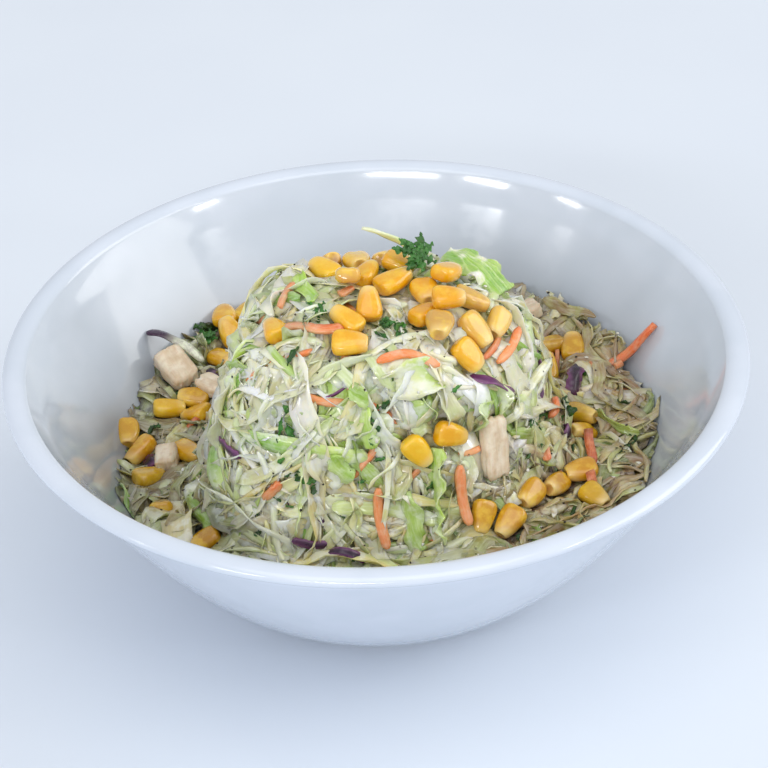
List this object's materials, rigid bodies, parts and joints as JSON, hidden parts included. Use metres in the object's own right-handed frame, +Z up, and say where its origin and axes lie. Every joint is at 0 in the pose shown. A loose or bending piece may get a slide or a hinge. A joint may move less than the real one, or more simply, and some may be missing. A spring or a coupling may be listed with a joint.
{
  "type": "bowl of coleslaw",
  "caption": "Dressed cabbage coleslaw with sweetcorn, carrot, red cabbage, parsley and diced chicken, heaped in a wide white glazed bowl.",
  "frame": {"origin": "on the table under the middle of the bowl's foot", "axes": "+Z up along the bowl's axis; -Y towards the viewer of the picture, +X to the viewer's right"},
  "size_m": [0.2038, 0.2038, 0.1016],
  "materials": {
    "white_glaze": null,
    "dressed_slaw": "moist shredded cabbage and carrot in a pale creamy dressing, semi-gloss",
    "sweetcorn": "moist yellow kernels with a tight glossy skin",
    "diced_chicken": "cooked pale meat with a soft fibrous surface, moist",
    "parsley_leaf": "dark green curled leaf, satin",
    "green_cabbage": "pale to mid green cabbage leaf with lighter veins, moist"
  },
  "bodies": {
    "root": {"bowl": "white_glaze", "slaw_heap": "dressed_slaw", "green_leaf": "green_cabbage", "corn_1": "sweetcorn", "corn_2": "sweetcorn", "corn_3": "sweetcorn", "corn_4": "sweetcorn", "corn_5": "sweetcorn", "corn_6": "sweetcorn", "corn_7": "sweetcorn", "corn_8": "sweetcorn", "corn_9": "sweetcorn", "corn_10": "sweetcorn", "corn_11": "sweetcorn", "corn_12": "sweetcorn", "corn_13": "sweetcorn", "corn_14": "sweetcorn", "corn_15": "sweetcorn", "corn_16": "sweetcorn", "corn_17": "sweetcorn", "corn_18": "sweetcorn", "corn_19": "sweetcorn", "corn_20": "sweetcorn", "corn_21": "sweetcorn", "corn_22": "sweetcorn", "corn_23": "sweetcorn", "chicken_1": "diced_chicken", "chicken_2": "diced_chicken", "chicken_3": "diced_chicken", "chicken_4": "diced_chicken", "chicken_5": "diced_chicken", "parsley_1": "parsley_leaf", "parsley_2": "parsley_leaf", "parsley_3": "parsley_leaf"}
  },
  "joints": []
}
